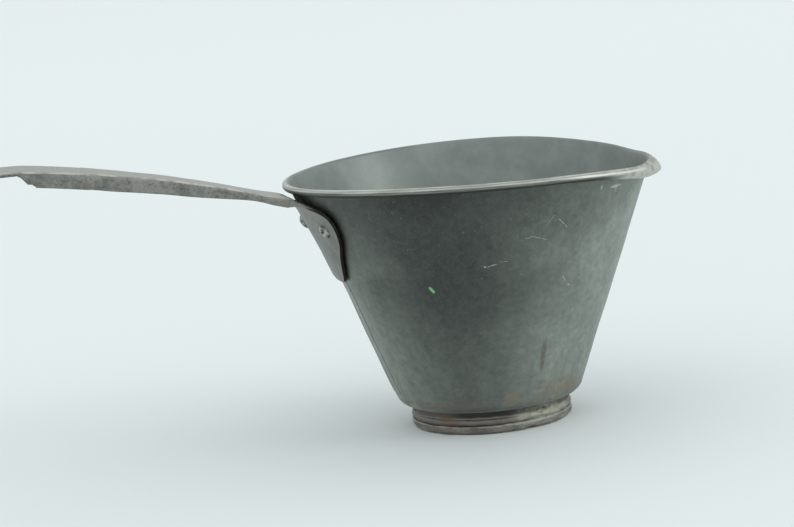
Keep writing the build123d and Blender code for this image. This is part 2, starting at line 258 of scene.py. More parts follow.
# The seam's fold stands on the wall as a low band with rounded edges.
bpy.ops.mesh.primitive_cube_add(size=1)
seam = bpy.context.object
seam.name = "side_seam"
bpy.ops.object.mode_set(mode="EDIT")
bpy.ops.mesh.subdivide(number_cuts=23)
bpy.ops.object.mode_set(mode="OBJECT")
seam_bottom, seam_top = -0.1, SHEET / 2 + SIDE_SEAM_RISE
for vertex in seam.data.vertices:
    x, y, z = vertex.co
    offset = seam_bottom + (x + 0.5) * (seam_top - seam_bottom)
    up = SIDE_SEAM_LOW + (z + 0.5) * (SIDE_SEAM_HIGH - SIDE_SEAM_LOW)
    across = y * SIDE_SEAM_WIDTH
    r = cone_radius(up, offset)
    vertex.co = Vector((-sqrt(r * r - across * across), across, up))
modify(seam, "BEVEL", width=0.16, segments=2, limit_method="ANGLE", angle_limit=radians(50))
cup = joined([cup, seam])
for vertex in cup.data.vertices:
    vertex.co = settled(vertex.co)
smooth(cup)


class Amount:
    """A socket's value in a sum."""

    def __init__(self, finish, socket):
        self.finish, self.socket = finish, socket

    def sum(self, operation, first, second):
        node = self.finish.node("Math", {"operation": operation}, {0: first, 1: second})
        return Amount(self.finish, node.outputs[0])

    def __add__(self, other):
        return self.sum("ADD", self, other)

    def __sub__(self, other):
        return self.sum("SUBTRACT", self, other)

    def __rsub__(self, other):
        return self.sum("SUBTRACT", other, self)

    def __mul__(self, other):
        return self.sum("MULTIPLY", self, other)

    def __truediv__(self, other):
        return self.sum("DIVIDE", self, other)

    def __pow__(self, other):
        return self.sum("POWER", self, other)

    __radd__, __rmul__ = __add__, __mul__

    def larger(self, other):
        return self.sum("MAXIMUM", self, other)

    def smaller(self, other):
        return self.sum("MINIMUM", self, other)


MARKED_RADIUS, SPOTTED_RADIUS = 42, 45  # wall radii that fine marks and spots are laid out on


class Finish:
    """A metal's finish. Patterns are laid out in millimetres on the piece."""

    def __init__(self, name, **shader_values):
        self.material = bpy.data.materials.new(name)
        self.material.use_nodes = True
        self.tree = self.material.node_tree
        self.shader = self.tree.nodes["Principled BSDF"]
        for socket, value in shader_values.items():
            self.shader.inputs[socket.replace("_", " ")].default_value = value
        metres = self.node("TexCoord").outputs["Object"]
        scaled = self.node("VectorMath", {"operation": "SCALE"}, {0: metres, "Scale": 1000.0})
        self.place = scaled.outputs[0]
        parts = self.node("SeparateXYZ", {}, {0: self.place})
        self.x, self.y, self.z = (Amount(self, socket) for socket in parts.outputs)
        turn = self.node("Math", {"operation": "ARCTAN2"}, {0: self.y, 1: self.x})
        self.turn = Amount(self, turn.outputs[0]) * degrees(1)

    def node(self, kind, settings=None, sockets=None):
        """Adds a node, makes its settings, and then fills or links its sockets."""
        node = self.tree.nodes.new("ShaderNode" + kind)
        for name, value in (settings or {}).items():
            setattr(node, name, value)
        for key, value in (sockets or {}).items():
            value = getattr(value, "socket", value)
            if isinstance(value, bpy.types.NodeSocket):
                self.tree.links.new(value, node.inputs[key])
            else:
                node.inputs[key].default_value = value
        return node

    def noise(self, size, detail=3.0, roughness=0.5, stretch=(1, 1, 1), seed=0.0):
        """Noise with features of about this size."""
        moved = self.node("Mapping", {}, {"Vector": self.place, "Location": (seed, seed, seed),
                                          "Scale": tuple(s / size for s in stretch)})
        node = self.node("TexNoise", {}, {"Vector": moved.outputs[0], "Scale": 1.0,
                                          "Detail": detail, "Roughness": roughness})
        return Amount(self, node.outputs[0])

    def band(self, value, low, high):
        """0 below low, 1 above high, and smooth between."""
        node = self.node("MapRange", {"interpolation_type": "SMOOTHSTEP"},
                         {0: value, 1: min(low, high), 2: max(low, high)})
        mask = Amount(self, node.outputs[0])
        return mask if low < high else 1 - mask

    def marks(self, angle, width, length, low, high, seed=0.0):
        """Fine marks that all run one way round the wall, at an angle from level."""
        across = self.turn * (radians(1) * MARKED_RADIUS)
        flat = self.node("CombineXYZ", {}, {0: across, 1: self.z, 2: seed})
        turned_flat = self.node("VectorRotate", {"rotation_type": "Z_AXIS"},
                                {"Vector": flat.outputs[0], "Angle": radians(angle)})
        drawn = self.node("Mapping", {}, {"Vector": turned_flat.outputs[0],
                                          "Scale": (1 / length, 1 / width, 1.0)})
        node = self.node("TexNoise", {}, {"Vector": drawn.outputs[0], "Scale": 1.0, "Detail": 1.0})
        return self.band(Amount(self, node.outputs[0]), low, high)

    def attribute(self, name):
        return Amount(self, self.node("Attribute", {"attribute_name": name}).outputs["Fac"])

    def spot(self, turn, up, wide, tall, soft=0.6, ragged=0.0):
        """1 within an oval on the wall, fading at its edge."""
        across = (self.turn - turn) * (radians(1) * SPOTTED_RADIUS / wide)
        rise = (self.z - up) * (1 / tall)
        away = across * across + rise * rise + (self.noise(3.5, 4, 0.6, seed=turn) - 0.5) * ragged
        return self.band(away, 1 + soft, 1 - soft)

    def scratch(self, start, end, width):
        """1 on a straight line between two (turn, height) places on the wall's outside."""
        k = radians(1) * (cone_radius((start[1] + end[1]) / 2) + SHEET / 2)
        du, dv = (end[0] - start[0]) * k, end[1] - start[1]
        u, v = (self.turn - start[0]) * k, self.z - start[1]
        t = ((u * du + v * dv) / (du * du + dv * dv)).larger(0.0).smaller(1.0)
        off_u, off_v = u - t * du, v - t * dv
        return self.band(off_u * off_u + off_v * off_v, width * width, 0.0)

    def scratches(self, lines):
        """The same for many lines, given as (start, end, width)."""
        found = self.scratch(*lines[0])
        for line in lines[1:]:
            found = found.larger(self.scratch(*line))
        return found

    def colour(self, mask, first, second):
        """Colour between two colours, which are triples or sockets."""
        first, second = ((*c, 1.0) if isinstance(c, tuple) else c for c in (first, second))
        node = self.node("Mix", {"data_type": "RGBA"}, {0: mask, 6: first, 7: second})
        return node.outputs[2]

    def raised(self, height, distance):
        """Bump whose height is in millimetres when distance is 1."""
        node = self.node("Bump", {}, {"Height": height, "Strength": 1.0,
                                      "Distance": 0.001 * distance})
        return node.outputs[0]

    def end(self, **links):
        for socket, value in links.items():
            value = getattr(value, "socket", value)
            self.tree.links.new(value, self.shader.inputs[socket.replace("_", " ")])


DARK_TIN = (0.048, 0.052, 0.049), (0.062, 0.067, 0.063)
SHEEN_AND_CLEAN_TIN = (0.34, 0.37, 0.34), (0.40, 0.435, 0.385)
INSIDE_TIN = (0.21, 0.235, 0.22), (0.27, 0.30, 0.28)
PAINTED_RIM_SHADOW = (0.02, 0.02, 0.018)
BARE_METAL = (0.42, 0.44, 0.38)
ROLL_TOP = (0.42, 0.43, 0.395), (0.62, 0.63, 0.58)
SHADED_ROLL_LOW = (0.14, 0.145, 0.13), (0.24, 0.245, 0.22)
ROLL_PAINTED_SHADE = (0.05, 0.052, 0.047)
ROLL_PAINTED_HIGHLIGHT = (0.68, 0.69, 0.64)
LIP_METAL = (0.27, 0.265, 0.225), (0.50, 0.50, 0.45)
BROWN_STAIN = (0.185, 0.15, 0.12)
TAN_STAIN = (0.25, 0.205, 0.125)
DARK_RUST = (0.115, 0.062, 0.045)
BRIGHT_RUST = (0.27, 0.17, 0.09)
GREEN_PAINT = (0.15, 0.50, 0.21)

tin = Finish("aged_tinplate")
patches = tin.noise(17, 4, 0.55)
blotches = tin.noise(4.5, 4, 0.6, seed=3.0)
grain = tin.noise(0.7, 3, 0.6, seed=5.0)

# Painted shade and sheen: the tin is painted darkest down the front and under the rim as shade, and
# brighter to both sides and low down as painted sheen; blotches, streaks and mottle vary it at
# random.
PAINTED_SHADE_TURN = -118         # degrees round from opposite the handle
from_painted_shade = tin.turn - PAINTED_SHADE_TURN + (patches - 0.5) * 30
from_painted_shade = from_painted_shade.larger(0 - from_painted_shade) / 55
lower = tin.band(tin.z, 64.0, 46.0)
sheen_and_mottle = (tin.band(tin.z, 69.0, 60.0) * 0.07 + tin.band(tin.z, 46.0, 10.0) * 0.28
         + (lower * 0.27 + 0.37) * from_painted_shade ** 1.5).smaller(0.80)
streaks = tin.noise(5.0, 4, 0.6, stretch=(1, 1, 0.35), seed=21)
mottle = tin.noise(1.7, 4, 0.65, seed=41)
behind = tin.band(tin.turn, -42.0, 10.0) * tin.band(tin.noise(24, 3, 0.5, seed=51), 0.62, 0.40)
sheen_and_mottle = sheen_and_mottle * (0.10 + 0.6 * blotches + 0.5 * streaks + 0.7 * mottle) * (1 - behind * 0.45)
sheen_and_mottle = (sheen_and_mottle + (mottle - 0.5) * 0.13 + (grain - 0.5) * 0.12).larger(0.0)
tone = tin.colour(sheen_and_mottle, tin.colour(blotches, *DARK_TIN), tin.colour(streaks, *SHEEN_AND_CLEAN_TIN))
# Painted shadow: a dark band on the outside of the wall just under the roll.
under_roll_shadow = tin.band(tin.attribute("along"), ROLL_START - 1.1, ROLL_START - 0.3)
tone = tin.colour(under_roll_shadow * 0.7 * (1 - tin.attribute("inside")), tone, PAINTED_RIM_SHADOW)

# Inside, the tin has kept more of its brightness.
inside_tone = tin.colour(tin.band(patches * 0.6 + blotches * 0.4, 0.38, 0.62), *INSIDE_TIN)
tone = tin.colour(tin.attribute("inside"), tone, inside_tone)

# Marks: scuffs every way, a cluster of short scratches on the right, and a few bare nicks.
scuffs = (tin.marks(62, 0.16, 4.0, 0.66, 0.74, 1.0)
          .larger(tin.marks(-38, 0.14, 5.0, 0.67, 0.75, 4.0))
          .larger(tin.marks(8, 0.18, 3.0, 0.68, 0.76, 9.0)))
cluster = tin.spot(-82.0, 56.0, 13.0, 8.0, 0.95) * 0.20 + 0.07
nicks = tin.scratches([
    ((-77.5, 59.0), (-74.0, 56.5), 0.12), ((-79.5, 60.5), (-81.5, 58.5), 0.07),
    ((-87.5, 55.5), (-81.5, 54.0), 0.09), ((-86.0, 55.5), (-89.5, 55.0), 0.07),
    ((-104.5, 48.5), (-104.0, 48.5), 0.34), ((-103.0, 48.5), (-100.0, 49.0), 0.17),
    ((-98.5, 49.5), (-96.0, 49.5), 0.08), ((-57.5, 65.0), (-52.0, 65.0), 0.26),
    ((-54.5, 65.5), (-54.5, 63.5), 0.22), ((-62.0, 66.0), (-62.0, 65.0), 0.16),
    ((-72.5, 43.0), (-71.0, 41.5), 0.16), ((-69.5, 40.5), (-68.5, 40.0), 0.22),
])
nicks = nicks * tin.band(grain, 0.38, 0.5)
nicks = nicks.larger(tin.spot(-55.0, 65.0, 1.5, 0.42, 0.8, 1.6))
nicks = nicks.larger(tin.spot(-62.0, 65.5, 0.34, 0.5, 0.7, 1.0) * 0.6)
specks = tin.band(tin.noise(0.9, 1, 0.5, seed=31), 0.72, 0.8) * 0.22
bare = (scuffs * cluster + nicks + specks).smaller(1.0)
tone = tin.colour(bare, tone, BARE_METAL)

# Wear: bare pale metal along the roll and on the lip. Across the roll there is painted light: its
# lower half is painted darker as shade, with a painted shadow on its underside, a painted dark crease
# and a painted highlight line low on the front. Places across the roll are counted in points from
# where it begins.
rolled_by = tin.attribute("rolled")
on_roll = tin.band(rolled_by, 3.6, 4.8)
on_lip = tin.attribute("lip")
fine_wear = tin.marks(0, 0.5, 9.0, 0.3, 0.7, 12.0) * 0.6 + tin.noise(0.8, 3, 0.6) * 0.4
fine_wear = tin.band(fine_wear, 0.2, 0.8)
roll_tone = tin.colour(fine_wear, *ROLL_TOP)
lip_wear = tin.band(tin.noise(2.6, 4, 0.65, seed=12) + (rolled_by - 12) * 0.012, 0.34, 0.56)
roll_tone = tin.colour(on_lip, roll_tone, tin.colour(lip_wear, *LIP_METAL))
not_lip = tin.band(on_lip, 0.5, 0.15)
# Painted shade on the roll's lower half.
shaded_lower_half = tin.band(rolled_by, 10.3, 11.6) * not_lip
# Painted shadow on the roll's underside.
under = tin.band(rolled_by, 13.2, 14.8) * not_lip
# A painted dark crease between the roll's two bright bands.
painted_crease = tin.band(rolled_by, 7.6, 8.6) * tin.band(rolled_by, 10.2, 9.2) * not_lip
roll_tone = tin.colour(shaded_lower_half, roll_tone, tin.colour(fine_wear, *SHADED_ROLL_LOW))
roll_tone = tin.colour((under * 0.9).larger(painted_crease * 0.35), roll_tone, ROLL_PAINTED_SHADE)
# A painted highlight line low on the front of the roll.
painted_highlight_line = tin.band(tin.turn, -84.0, -68.0) * tin.band(tin.turn, -36.0, -46.0)
painted_highlight_line = painted_highlight_line * tin.band(rolled_by, 10.0, 10.8) * tin.band(rolled_by, 12.9, 12.1)
roll_tone = tin.colour(painted_highlight_line * 0.8, roll_tone, ROLL_PAINTED_HIGHLIGHT)
tone = tin.colour(on_roll, tone, roll_tone)

# Rust: a run down the right of the front, tan stains above the collar and a few round the foot.
speckle = tin.band(tin.noise(1.3, 3, 0.6, seed=14), 0.35, 0.6)
run = tin.spot(-77.0, 21.0, 1.1, 4.6, 0.9) * 0.65
tan_patches = tin.spot(-94.0, 10.0, 3.8, 1.9, 0.9, 6.0)
tan_patches = tan_patches.larger(tin.spot(-59.0, 10.8, 11.5, 2.0, 0.9, 6.0))
shoulder = tin.spot(-135.0, 8.9, 34.0, 0.9, 0.8, 2.0)
shoulder = shoulder.larger(tin.spot(-76.0, 12.6, 3.0, 1.4, 0.8, 2.5))
low_all = tin.band(tin.z + (blotches - 0.5) * 9, 14.0, 8.0) * tin.band(patches, 0.45, 0.62) * 0.4
tone = tin.colour((shoulder * 0.65).larger(low_all) * (speckle * 0.6 + 0.4), tone, BROWN_STAIN)
tone = tin.colour(tan_patches * (speckle * 0.45 + 0.25), tone, TAN_STAIN)
tone = tin.colour(run * (speckle * 0.5 + 0.5), tone, DARK_RUST)
foot_rust = tin.scratches([
    ((-157.0, 58.5), (-159.5, 54.0), 0.5), ((-159.5, 54.0), (-164.5, 50.0), 0.5),
    ((-164.5, 50.0), (-171.0, 44.5), 0.5),
])
tone = tin.colour(foot_rust * speckle * 0.7, tone, BRIGHT_RUST)
stain_on = (shoulder * 0.5).larger(tan_patches)
rust = (run * speckle).larger(stain_on * 0.6)

# A fleck of green paint.
fleck = tin.scratch((-126.0, 43.5), (-125.0, 42.5), 0.55)
tone = tin.colour(fleck, tone, GREEN_PAINT)
metal = 1 - fleck.larger(rust * 0.7)
rough = 0.40 + blotches * 0.16 + grain * 0.08 + rust * 0.2 - bare * 0.12
height = blotches * 0.03 + grain * 0.014 + rust * 0.03 - bare * 0.02
tin.end(Base_Color=tone, Metallic=metal, Roughness=rough, Normal=tin.raised(height, 1.0))
finished(cup, tin, "cup_wall")


# ---------------------------------------------------------------------------------------------
# Rim wire. Iron wire that stiffens the roll. It stops where the roll opens into the lip, and its
# cut ends show there.
WIRE_RADIUS = 0.48
DARK_IRON, GREY_IRON = (0.10, 0.085, 0.07), (0.22, 0.21, 0.19)
iron = Finish("iron_wire")
iron_tone = iron.colour(iron.band(iron.noise(2, 4), 0.35, 0.65), DARK_IRON, GREY_IRON)
iron.end(Base_Color=iron_tone, Metallic=1 - 0.5 * iron.noise(5, 3),
         Roughness=0.45 + 0.3 * iron.noise(1, 3), Normal=iron.raised(iron.noise(0.6, 3), 0.03))
bpy.ops.mesh.primitive_circle_add(vertices=14, radius=WIRE_RADIUS, rotation=(pi / 2, 0, 0),
                                  location=(RIM_RADIUS, 0, RIM_HEIGHT), fill_type="NGON")
wire = bpy.context.object
wire.name = "rim_wire_piece"
bpy.ops.object.transform_apply(location=True, rotation=True)
wire.data.transform(Matrix.Rotation(radians(LIP_TURN + LIP_HALF), 4, "Z"))
bpy.ops.object.mode_set(mode="EDIT")
bpy.ops.mesh.select_all(action="SELECT")
bpy.ops.mesh.spin(steps=150, angle=-radians(360 - 2 * LIP_HALF), center=(0, 0, 0), axis=(0, 0, 1))
bpy.ops.mesh.select_all(action="SELECT")
bpy.ops.mesh.normals_make_consistent(inside=False)
bpy.ops.object.mode_set(mode="OBJECT")
for vertex in wire.data.vertices:
    vertex.co = settled(vertex.co)
smooth(wire, 50)
finished(wire, iron, "rim_wire")


# ---------------------------------------------------------------------------------------------
# Collar. A strip of tinplate under the wall with one stiffening bead, flanged and flared at its
# upper end inside the wall and soldered there.
COLLAR_MIDDLE = 21.35
COLLAR_BOTTOM, BEAD_Z, FLANGE_Z = 0.85, 3.3, 6.95
TIGHT_BEND, BEAD_BEND, FLARE_BEND = 0.6, 0.8, 3.15
BEAD_TURN = 50.0
FLARE_LENGTH = 3.0
bead_half = (TIGHT_BEND + BEAD_BEND) * sin(radians(BEAD_TURN))
collar_line = bent_line((COLLAR_MIDDLE, COLLAR_BOTTOM), 0, [
    (BEAD_Z - bead_half - COLLAR_BOTTOM, 3),
    (TIGHT_BEND, BEAD_TURN, 5), (BEAD_BEND, -2 * BEAD_TURN, 10), (TIGHT_BEND, BEAD_TURN, 5),
    (FLANGE_Z - TIGHT_BEND - BEAD_Z - bead_half, 5),
    (TIGHT_BEND, 90, 8), (FLARE_BEND, FLARE - 90, 10), (FLARE_LENGTH, 4),
])
collar = turned("collar", collar_line, 180)
modify(collar, "SOLIDIFY", thickness=SHEET, offset=0.0)
for vertex in collar.data.vertices:
    x, y, z = vertex.co
    low = max(0.0, 1 - z / 7)
    grow = -0.22 * low * (0.5 + noise.noise(Vector((x / 7, y / 7, z / 5))))
    lumpy = bump(turn_of(vertex.co), -66, 24) * max(0.0, min(1.0, (6.2 - z) / 0.8))
    r = hypot(x, y)
    grow += lumpy * (0.6 * (22.2 - r) + 0.55 * noise.noise(Vector((x, y, z)) / 1.9)
                     + 0.3 * noise.noise(Vector((x, y, z)) / 0.8))
    vertex.co = Vector((x * (1 + grow / 22), y * (1 + grow / 22), z))
smooth(collar)

STAINED_TIN = (0.15, 0.143, 0.13), (0.27, 0.255, 0.225)
SMEARED_SOLDER = (0.41, 0.41, 0.34)
COLLAR_RUST, GROOVE_PAINTED_SHADE = (0.16, 0.10, 0.06), (0.035, 0.034, 0.03)
stain = Finish("stained_tinplate")
stain_mix = stain.noise(6, 5, 0.6, stretch=(1, 1, 4)) * 0.6 + stain.noise(1.2, 3) * 0.4
stain_mix = stain.band(stain_mix, 0.34, 0.66)
stain_tone = stain.colour(stain_mix, *STAINED_TIN)
brown = stain.band(stain.noise(9, 4, 0.6, seed=4), 0.52, 0.68)
stain_tone = stain.colour(brown * 0.7, stain_tone, COLLAR_RUST)
tinned = stain.band(stain.turn, -98.0, -80.0) * stain.band(stain.turn, -28.0, -42.0)
tinned = tinned * (0.35 + 0.65 * stain.band(stain.noise(2.4, 4, 0.6, seed=2), 0.36, 0.52))
stain_tone = stain.colour(tinned * 0.85, stain_tone, SMEARED_SOLDER)
# Painted shade in the groove above the bead, darker towards the front.
shaded_groove = stain.band(stain.z + (stain.noise(3, 2) - 0.5) * 0.5, 4.3, 4.9)
shaded_groove = shaded_groove * stain.band(stain.z, 6.6, 6.0)
front = stain.band(stain.turn, -146.0, -126.0) * (1 - tinned * 0.7)
stain_tone = stain.colour(shaded_groove * (front * 0.48 + 0.42), stain_tone, GROOVE_PAINTED_SHADE)
stain.end(Base_Color=stain_tone, Metallic=1 - brown * 0.5,
          Roughness=0.42 + 0.3 * stain_mix,
          Normal=stain.raised(stain.noise(1.6, 4, 0.6), 0.12))
finished(collar, stain, "base_collar")


# ---------------------------------------------------------------------------------------------
# Bottom. A flat disc with its edge turned up outside the collar. It has been knocked about, so its
# corner is dented and its edge is wavy.
FLAT_RADIUS = 21.3
CORNER_BEND = 0.6
EDGE_HEIGHT = 0.95          # upright part of the turned-up edge
cap_line = bent_line((0.0, SHEET / 2), 90, [
    (FLAT_RADIUS, 30), (CORNER_BEND, -90, 6), (EDGE_HEIGHT, 3),
])
cap = turned("bottom", cap_line, 180)
modify(cap, "SOLIDIFY", thickness=SHEET, offset=0.0)
for vertex in cap.data.vertices:
    x, y, z = vertex.co
    r = hypot(x, y)
    edge = min(1.0, max(0.0, (r - 15) / 7))
    wave = 0.5 + 0.5 * noise.noise(Vector((x / 5, y / 5, 2.0)))
    wave += 0.3 * noise.noise(Vector((x / 2, y / 2, 5))) + 1.1 * bump(turn_of(vertex.co), -77, 3.5)
    shrink = 1 - 0.012 * edge * wave
    vertex.co = Vector((x * shrink, y * shrink, z + 0.55 * edge * max(0.0, wave - 0.35)))
smooth(cap)

WORN_BOTTOM = (0.16, 0.145, 0.128), (0.32, 0.295, 0.26)
EDGE_SHINE, BOTTOM_DIRT = (0.45, 0.45, 0.38), (0.10, 0.08, 0.06)
base = Finish("bottom_tinplate")
worn = base.noise(5, 5, 0.65, stretch=(1, 1, 4)) * 0.7 + base.noise(0.8, 2) * 0.3
worn = base.band(worn, 0.34, 0.66)
bottom_tone = base.colour(worn, *WORN_BOTTOM)
shine = base.band(base.turn, -98.0, -76.0)
shine = shine * base.band(base.turn, -24.0, -40.0)
from_axis = (base.x * base.x + base.y * base.y) ** 0.5
shine = shine * base.band(from_axis, 20.2, 21.2)
bottom_tone = base.colour(shine * worn * 0.7, bottom_tone, EDGE_SHINE)
dirt = base.band(base.noise(7, 4, 0.6, seed=8), 0.5, 0.68)
bottom_tone = base.colour(dirt * 0.7, bottom_tone, BOTTOM_DIRT)
base.end(Base_Color=bottom_tone, Metallic=1 - dirt * 0.6, Roughness=0.45 + 0.25 * worn,
         Normal=base.raised(base.noise(1.4, 4, 0.6), 0.12))
finished(cap, base, "base_cap")


# ---------------------------------------------------------------------------------------------
# Solder. Tin and lead run along the collar's upper edge inside the cup, and along the bottom's
# turned-up edge outside, where it is thick and lumpy on one side.
SOLDER = (0.20, 0.195, 0.175), (0.42, 0.41, 0.365)
solder = Finish("solder")
solder_mix = solder.band(solder.noise(2.2, 5, 0.65) * 0.7 + solder.noise(0.5, 2) * 0.3, 0.35, 0.62)
solder_tone = solder.colour(solder_mix, *SOLDER)
solder.end(Base_Color=solder_tone, Metallic=1 - 0.35 * solder.noise(3, 3),
           Roughness=0.36 + 0.3 * solder_mix, Normal=solder.raised(solder.noise(0.9, 3, 0.6), 0.15))


def solder_ring(name, centre_r, centre_z, wide, tall, steps, swell):
    """A bead of solder with an oval section, swollen and lumpy as swell(turn) says."""
    ring = turned(name, [(centre_r + wide * cos(a), centre_z + tall * sin(a))
                         for a in [2 * pi * i / 12 for i in range(13)]], steps)
    for vertex in ring.data.vertices:
        x, y, z = vertex.co
        r = hypot(x, y)
        grow = swell(turn_of(vertex.co)) * (1 + 0.7 * noise.noise(Vector((x / 2.2, y / 2.2, z / 2))))
        new_r = centre_r + (r - centre_r) * grow
        vertex.co = Vector((x / r * new_r, y / r * new_r, centre_z + (z - centre_z) * grow))
    smooth(ring, 60)
    return ring


inner_z = 8.763 + FLARE_LENGTH * cos(radians(FLARE)) + 0.25
inner = solder_ring("collar_solder_piece", cone_radius(inner_z, -0.55), inner_z, 0.42, 0.75, 220,
                    lambda turn: 0.75)
finished(inner, solder, "collar_solder")


def heavy_side(turn):
    return 0.8 + 1.1 * bump(turn, -68, 30)


outer = solder_ring("base_solder_piece", 21.75, 1.95, 0.3, 0.38, 200, heavy_side)
finished(outer, solder, "base_solder")


# ---------------------------------------------------------------------------------------------
# Handle. One strip of sheet steel: a shield-shaped foot shaped to the wall, a neck, a grip whose
# edges are turned down to stiffen it, and a hook at the end to hang the scoop by.
STRAP = 0.8
FOOT_OFFSET = 1.10          # middle of the foot from the middle of the wall
FOOT_BOTTOM = 43.9
FOOT_EDGE_LIFT = 0.45       # how far the foot's sides stand off the wall
NECK_TURN_Z = 62.5          # where the strap leaves the wall
# Half widths of the foot at heights, of the strap and of its turned-down edges out from the axis.
FOOT_OUTLINE = [(43.8, 4.5), (44.2, 6.4), (45.0, 7.6), (51.5, 13.0), (56.0, 17.0), (60.5, 18.7),
                (63.5, 17.7), (65.0, 14.9), (66.2, 9.4), (67.4, 7.9)]
STRAP_WIDTHS = [(48.0, 8.3), (86.0, 8.3), (94.0, 8.8), (104.0, 9.8), (118.0, 10.1), (135.0, 8.6),
                (158.0, 6.2)]
FLANGE_DROPS = [(46.0, 1.3), (52.0, 2.1), (56.0, 1.9), (60.0, 1.6), (64.0, 1.85), (70.0, 2.5),
                (78.0, 3.15), (86.0, 3.5), (95.0, 3.7), (118.0, 3.6), (118.9, 3.4), (119.5, 2.7),
                (121.0, 2.6), (122.6, 0.3), (123.2, 0.05), (200.0, 0.05)]
FLAT = 0.02                 # what the strap's edge drops where it isn't turned down
EDGE_BEND = 0.7             # middle radius where the edges are turned down
HOOK_FROM = 105             # past here the strap is only ever bent inwards by use
GRIP_FROM = 52              # where the grip begins, from the axis
FOOT_STEPS, NECK_STEPS, GRIP_STEPS, ARCH_STEPS, HOOK_STEPS, TIP_STEPS = 44, 26, 56, 24, 30, 4


def between(table, at):
    """Value of a table of (place, value) pairs at a place, smooth through the pairs."""
    if at <= table[0][0]:
        return table[0][1]
    for i in range(len(table) - 1):
        (a, va), (b, vb) = table[i], table[i + 1]
        if at <= b:
            t = (at - a) / (b - a)
            before = table[max(i - 1, 0)]
            after = table[min(i + 2, len(table) - 1)]
            sa = (vb - before[1]) / (b - before[0]) * (b - a)
            sb = (after[1] - va) / (after[0] - a) * (b - a)
            return (va * (2 * t**3 - 3 * t**2 + 1) + sa * (t**3 - 2 * t**2 + t)
                    + vb * (3 * t**2 - 2 * t**3) + sb * (t**3 - t**2))
    return table[-1][1]


# The strap's middle line: up the wall, round the neck, and along the grip into the hook.
foot_run = (NECK_TURN_Z - FOOT_BOTTOM) / cos(radians(FLARE))
path = bent_line((cone_radius(FOOT_BOTTOM, FOOT_OFFSET), FOOT_BOTTOM), FLARE, [
    (foot_run, FOOT_STEPS), (9.0, 90 - FLARE - 19, NECK_STEPS), (350.0, 11, GRIP_STEPS),
    (55.0, 30, ARCH_STEPS), (6.3, 160, HOOK_STEPS), (4.0, TIP_STEPS),
])
FLAT_COLUMNS, BEND_COLUMNS, EDGE_COLUMNS = 11, 5, 3
half_columns = FLAT_COLUMNS + BEND_COLUMNS + EDGE_COLUMNS
bpy.ops.mesh.primitive_grid_add(x_subdivisions=len(path) - 1, y_subdivisions=2 * half_columns, size=2)
handle = bpy.context.object
handle.name = "handle_piece"


def path_normal(i):
    (r0, z0), (r1, z1) = path[max(i - 1, 0)], path[min(i + 1, len(path) - 1)]
    length = hypot(r1 - r0, z1 - z0)
    return -(z1 - z0) / length, (r1 - r0) / length


def handle_section(i):
    """Half of the strip's section at a station: (across, drop) pairs from the middle to the edge."""
    r, z = path[i]
    foot = i <= FOOT_STEPS + NECK_STEPS and z < FOOT_OUTLINE[-1][0]
    wide = between(FOOT_OUTLINE, z) if foot else between(STRAP_WIDTHS, r) - STRAP / 2
    turning = min(1.0, max(0.0, (i - narrow_at + 9) / 19))
    drop = FLAT + between(FLANGE_DROPS, r) * turning * turning * (3 - 2 * turning)
    if i > len(path) - HOOK_STEPS - TIP_STEPS - 2:
        drop = FLAT
    turn = radians(90) * min(1.0, max(drop, 0.0004) / EDGE_BEND) ** 0.5
    arc = EDGE_BEND * pi / 2 / turn
    across = arc * sin(turn)
    start = wide - across
    points = [(start * k / FLAT_COLUMNS, 0.0) for k in range(FLAT_COLUMNS + 1)]
    points += [(start + arc * sin(turn * k / BEND_COLUMNS), arc * (1 - cos(turn * k / BEND_COLUMNS)))
               for k in range(1, BEND_COLUMNS + 1)]
    left = max(0.03, (drop - arc * (1 - cos(turn))) / max(sin(turn), 0.2))
    bent_across, bent_down = points[-1]
    points += [(bent_across + left * cos(turn) * k / EDGE_COLUMNS,
                bent_down + left * sin(turn) * k / EDGE_COLUMNS) for k in range(1, EDGE_COLUMNS + 1)]
    return points


narrow_at = next(i for i, (r, z) in enumerate(path) if z > 66.2)    # where the foot ends
half_sections = [handle_section(i) for i in range(len(path))]
for name in ("edge", "cut"):
    handle.data.attributes.new(name, "FLOAT", "POINT")
edge, cut = (handle.data.attributes[name].data for name in ("edge", "cut"))
for vertex in handle.data.vertices:
    i = round((vertex.co.x + 1) / 2 * (len(path) - 1))
    j = round(vertex.co.y * half_columns)
    across, drop = half_sections[i][abs(j)]
    side = -1 if j < 0 else 1
    (r, z), (nr, nz) = path[i], path_normal(i)
    wrap = min(1.0, max(0.0, 1 - (i - FOOT_STEPS) / 30))
    a = across / r
    x = r - wrap * r * (1 - cos(a)) - drop * nr
    y = side * (wrap * r * sin(a) + (1 - wrap) * across)
    on_wall = max(0.0, min(1.0, 1 - (i - FOOT_STEPS) / 10))
    lift = FOOT_EDGE_LIFT * (min(abs(across), 19.0) / 19.0) ** 2 * on_wall
    x -= lift * nr
    place = Vector((-x, y, z - drop * nz - lift * nz))
    edge[vertex.index].value = 1.0 if abs(abs(j) - FLAT_COLUMNS - 1) < 1.5 else 0.0
    cut[vertex.index].value = 1.0 if abs(j) == half_columns and i < narrow_at - 3 else 0.0
    if i > FOOT_STEPS:
        place.z += 0.55 * bump(r, 51.5, 4.5)
    uneven = noise.noise(place / 6) * 0.06 + noise.noise(place / 15) * 0.16
    if r > HOOK_FROM:
        uneven = min(uneven, 0.0) - 0.06
    place += Vector((-nr, 0, nz)) * uneven * (1 - on_wall)
    vertex.co = pressed(place)
modify(handle, "SOLIDIFY", thickness=STRAP, offset=0.0)
modify(handle, "BEVEL", width=0.14, segments=2, limit_method="ANGLE", angle_limit=radians(50))
smooth(handle)
handle.data.attributes.new("top", "FLOAT", "POINT")
for vertex, item in zip(handle.data.vertices, handle.data.attributes["top"].data):
    item.value = 1.0 if vertex.normal.z > 0.75 and vertex.co.x < -GRIP_FROM else 0.0

